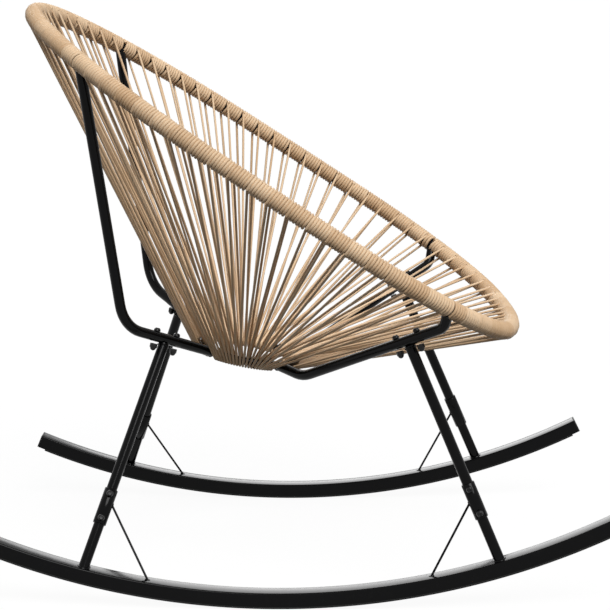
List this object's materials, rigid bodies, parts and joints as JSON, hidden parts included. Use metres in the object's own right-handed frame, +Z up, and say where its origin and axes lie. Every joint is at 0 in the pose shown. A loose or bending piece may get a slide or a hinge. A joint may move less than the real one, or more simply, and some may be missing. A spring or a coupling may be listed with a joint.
{
  "type": "rocking chair",
  "caption": "Rocking chair with an egg-shaped seat of stretched plastic cords between a wound hoop and a small ring, on bent tube arms, splayed legs and curved runners.",
  "frame": {"origin": "on the floor, halfway along the chair and halfway between the runners; the runners touch the floor 34 mm behind it", "axes": "+X to the front, where the sitter looks; +Y to the sitter's left; +Z up"},
  "size_m": [0.9513, 0.7266, 0.8712],
  "materials": {
    "frame": "satin black powder coat",
    "cord": "smooth beige plastic cord",
    "plastic": "matte black",
    "fastener": "black"
  },
  "bodies": {
    "root": {"cap_nuts": "fastener", "end_cap_front_left": "plastic", "end_cap_front_right": "plastic", "end_cap_rear_left": "plastic", "end_cap_rear_right": "plastic", "front_arm_left": "frame", "front_arm_right": "frame", "front_leg_left": "frame", "front_leg_right": "frame", "front_post_left": "frame", "front_post_right": "frame", "front_saddle_left": "frame", "front_saddle_right": "frame", "front_sleeve_left": "frame", "front_sleeve_right": "frame", "front_stay_left": "frame", "front_stay_right": "frame", "glide_strip_left": "plastic", "glide_strip_right": "plastic", "hub_ring": "frame", "rail_bolts": "fastener", "rear_arm_left": "frame", "rear_arm_right": "frame", "rear_leg_left": "frame", "rear_leg_right": "frame", "rear_post_left": "frame", "rear_post_right": "frame", "rear_saddle_left": "frame", "rear_saddle_right": "frame", "rear_sleeve_left": "frame", "rear_sleeve_right": "frame", "rear_stay_left": "frame", "rear_stay_right": "frame", "rim_hoop": "frame", "rim_wrap_back": "cord", "rim_wrap_front": "cord", "rim_wrap_left": "cord", "rim_wrap_right": "cord", "runner_left": "frame", "runner_right": "frame", "seat_cords_lower_back": "cord", "seat_cords_lower_front": "cord", "seat_cords_lower_left": "cord", "seat_cords_lower_right": "cord", "seat_cords_upper_back": "cord", "seat_cords_upper_front": "cord", "seat_cords_upper_left": "cord", "seat_cords_upper_right": "cord", "sleeve_bolts": "fastener"}
  },
  "joints": []
}
